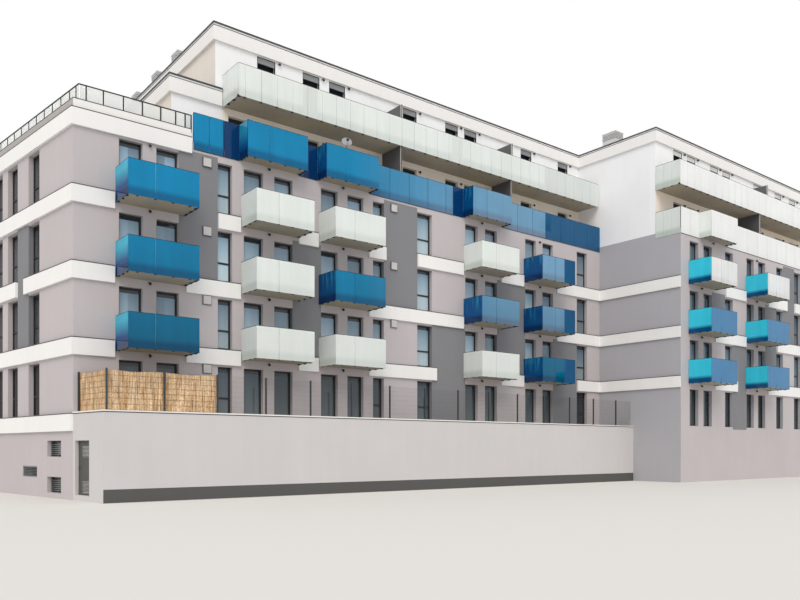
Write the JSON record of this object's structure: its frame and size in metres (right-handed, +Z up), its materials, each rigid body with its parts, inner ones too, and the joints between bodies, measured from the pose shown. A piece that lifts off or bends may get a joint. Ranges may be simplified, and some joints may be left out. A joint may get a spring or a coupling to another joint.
{
  "type": "apartment block, scale model at half size",
  "caption": "Apartment block with an offset wing, glass-fronted balconies, a set-back gallery storey, flat roofs and a garden podium with a hinged plant room door.",
  "frame": {"origin": "on the ground, in the middle of the block's outline", "axes": "+X along the street front from the near corner to the party wall, +Y from the street into the block, +Z up"},
  "size_m": [26.7578, 11.155, 11.21],
  "materials": {
    "concrete": "cast concrete, matt",
    "grey_render": "fine mineral render, light warm grey",
    "white_render": "fine mineral render, white",
    "window_frame": "anthracite, satin",
    "window_glass": "clear double glazing",
    "shutter": "grey slats",
    "vent_cover": "light grey, satin",
    "coping": "dark grey sheet metal",
    "podium_coping": "off-white sheet metal",
    "blue_glass": "blue printed laminated glass",
    "pale_glass": "milky laminated glass",
    "clear_glass": "clear laminated glass",
    "divider": "dark grey compact board",
    "rail": "anthracite, satin",
    "plant_door": "mid grey, satin",
    "door_handle": "black, satin",
    "galvanised": "grey sheet metal",
    "fence": "dark grey wire",
    "reed": "dry reed, unfinished"
  },
  "bodies": {
    "building": {"ground_floor": "concrete", "floor_slabs": "concrete", "terrace_floor": "concrete", "gallery_floor": "concrete", "roof_slab": "concrete", "podium_front_wall": "grey_render", "podium_side_wall": "grey_render", "doorway_head_and_sill": "grey_render", "podium_deck": "concrete", "podium_coping": "podium_coping", "plant_door_frame": "plant_door", "front_wall": "grey_render", "left_wall": "grey_render", "wing_side_wall": "grey_render", "wing_front_wall": "grey_render", "party_wall": "grey_render", "back_wall": "grey_render", "upper_front_walls": "white_render", "upper_side_walls": "white_render", "front_bands": "white_render", "side_bands": "white_render", "front_window_frames": "window_frame", "front_window_glass": "window_glass", "rear_window_frames": "window_frame", "rear_window_glass": "window_glass", "roller_shutters": "shutter", "plinth_louvre": "vent_cover", "wall_vents": "vent_cover", "roof_parapets": "white_render", "copings": "coping", "roof_vents": "galvanised", "balcony_slabs": "concrete", "gallery_slabs": "concrete", "blue_glass": "blue_glass", "pale_glass": "pale_glass", "gallery_glass": "pale_glass", "gallery_dividers": "divider", "terrace_parapet": "white_render", "terrace_balustrade": "rail", "balustrade_glass": "clear_glass", "fence_posts": "fence", "fence_mesh": "fence", "reed_screens": "reed"},
    "plant_door": {"plant_door": "plant_door", "plant_door_handle": "door_handle"}
  },
  "joints": [
    {"name": "plant_door_hinge", "type": "hinge", "parent": "building", "child": "plant_door", "pos_m": [-12.17598, -2.64651, 0.62], "axis": [0, 0, 1], "range_deg": [0, 90]}
  ]
}
